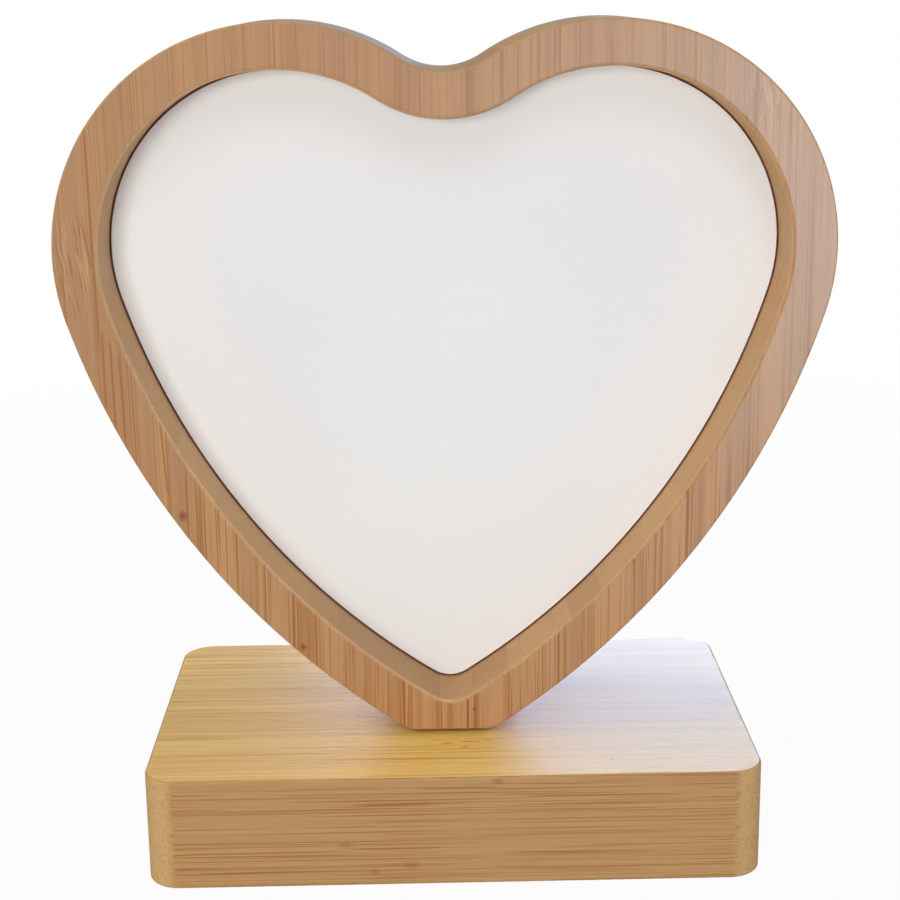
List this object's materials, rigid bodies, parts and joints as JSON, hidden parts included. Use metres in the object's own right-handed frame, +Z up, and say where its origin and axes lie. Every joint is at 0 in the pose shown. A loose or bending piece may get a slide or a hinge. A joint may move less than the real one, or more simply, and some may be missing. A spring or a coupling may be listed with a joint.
{
  "type": "revolving photo frame",
  "caption": "Heart-shaped bamboo photo frame with a recessed white panel, standing by its flat tip on a rounded bamboo block and turning on it about an upright bolt.",
  "frame": {"origin": "middle of the block's underside, on the pivot axis", "axes": "+Z up along the pivot, +X to the right as seen from the front, front of the heart faces -Y"},
  "size_m": [0.1368, 0.068, 0.1495],
  "materials": {
    "base_bamboo": "sanded bamboo with a satin clear coat",
    "ring_bamboo": "sanded bamboo with a thin matt clear coat",
    "white_panel": "hardboard with a white satin coat on both faces",
    "dowel_beech": "plain turned beech",
    "tape": "white foam tape",
    "nylon": "moulded natural nylon",
    "zinc_steel": "bright zinc plate"
  },
  "bodies": {
    "base": {"base_block": "base_bamboo", "pivot_bush": "nylon"},
    "heart": {"front_ring": "ring_bamboo", "rear_ring": "ring_bamboo", "ring_dowel_upper_right": "dowel_beech", "ring_dowel_lower_right": "dowel_beech", "ring_dowel_upper_left": "dowel_beech", "ring_dowel_lower_left": "dowel_beech", "photo_panel": "white_panel", "tape_pad_side_right": "tape", "tape_pad_side_left": "tape", "tape_pad_lobe_right": "tape", "tape_pad_lobe_left": "tape", "tape_pad_top_right": "tape", "tape_pad_top_left": "tape", "pivot_plate": "zinc_steel", "plate_screw_front": "zinc_steel", "plate_screw_rear": "zinc_steel", "pivot_bolt": "zinc_steel", "flat_washer": "zinc_steel", "wave_washer": "zinc_steel", "lock_nut": "zinc_steel"}
  },
  "joints": [
    {"name": "frame_revolve", "type": "hinge", "parent": "base", "child": "heart", "pos_m": [0, 0, 0.0205], "axis": [0, 0, 1], "continuous": true}
  ]
}
